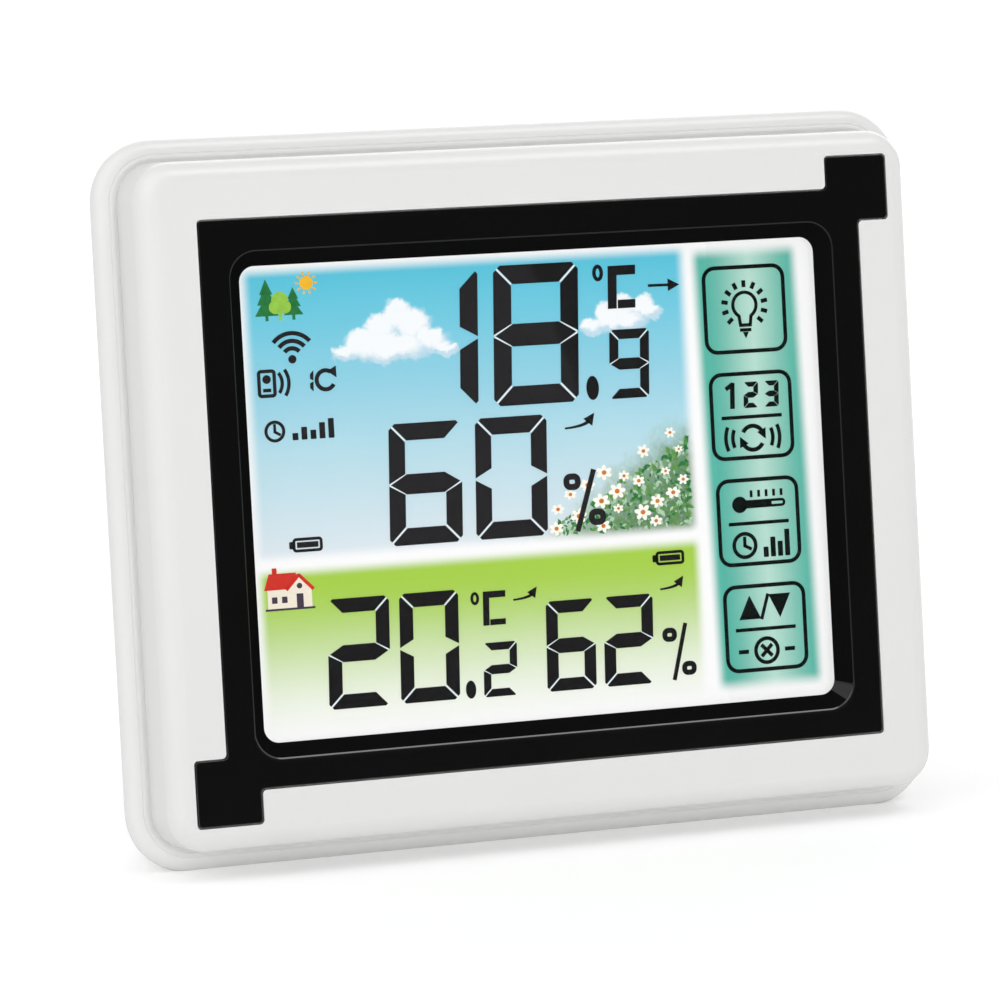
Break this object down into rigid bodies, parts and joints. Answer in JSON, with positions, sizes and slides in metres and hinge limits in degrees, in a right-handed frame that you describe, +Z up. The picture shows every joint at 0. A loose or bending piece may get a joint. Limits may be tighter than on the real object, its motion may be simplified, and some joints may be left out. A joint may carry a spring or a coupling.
{
  "type": "home weather station",
  "caption": "Desk weather console: leaning white two-tier casing, black trim frame, colour display with a touch key strip, battery box, hanging slot and fold-out stand.",
  "frame": {"origin": "on the table, under the middle of the console with its stand open", "axes": "+X to the right as seen from the front, +Y to the back, +Z up"},
  "size_m": [0.1252, 0.0414, 0.1025],
  "materials": {
    "casing_white": "gloss",
    "trim_black": "high gloss",
    "window_clear": "clear",
    "display_glass": "clear",
    "printed_film": "printed",
    "white_sheet": "matt",
    "board_green": "lacquered",
    "epoxy_black": "moulded",
    "led_body": "moulded",
    "elastomer_grey": "matt",
    "plated_steel": "nickel plated",
    "copper_wire": "bare wire",
    "cell_jacket": "plain wrapped",
    "lead_red": "insulated",
    "lead_black": "insulated"
  },
  "bodies": {
    "console": {"front_housing": "casing_white", "rear_cover": "casing_white", "front_trim": "trim_black", "touch_window": "window_clear", "touch_film": "printed_film", "lcd_panel": "display_glass", "colour_film": "printed_film", "diffuser_sheet": "white_sheet", "light_guide": "window_clear", "reflector_sheet": "white_sheet", "display_tray": "white_sheet", "led_board": "board_green", "backlight_led_1": "led_body", "backlight_led_2": "led_body", "backlight_led_3": "led_body", "zebra_strip": "elastomer_grey", "main_board": "board_green", "controller_chip": "epoxy_black", "quartz_crystal": "plated_steel", "radio_board": "board_green", "radio_chip": "epoxy_black", "antenna_coil": "copper_wire", "climate_sensor": "white_sheet", "battery_cell_1": "cell_jacket", "battery_cell_2": "cell_jacket", "battery_cell_3": "cell_jacket", "battery_spring_1": "plated_steel", "battery_spring_2": "plated_steel", "battery_spring_3": "plated_steel", "contact_negative": "plated_steel", "contact_positive": "plated_steel", "contact_bridge_1": "plated_steel", "contact_bridge_2": "plated_steel", "battery_lead_negative": "lead_black", "battery_lead_positive": "lead_red", "case_screw_1": "plated_steel", "case_screw_2": "plated_steel", "case_screw_3": "plated_steel", "case_screw_4": "plated_steel", "board_screw_1": "plated_steel", "board_screw_2": "plated_steel", "board_screw_3": "plated_steel", "board_screw_4": "plated_steel"},
    "stand": {"stand": "casing_white"},
    "battery_door": {"battery_door": "casing_white"}
  },
  "joints": [
    {"name": "stand_hinge", "type": "hinge", "parent": "console", "child": "stand", "pos_m": [0, 0.00732, 0.03812], "axis": [1, 0, 0], "range_deg": [-25, 0]},
    {"name": "battery_door_hinge", "type": "hinge", "parent": "console", "child": "battery_door", "pos_m": [0, 0.00974, 0.0455], "axis": [-1, 0, 0], "range_deg": [0, 80]}
  ]
}
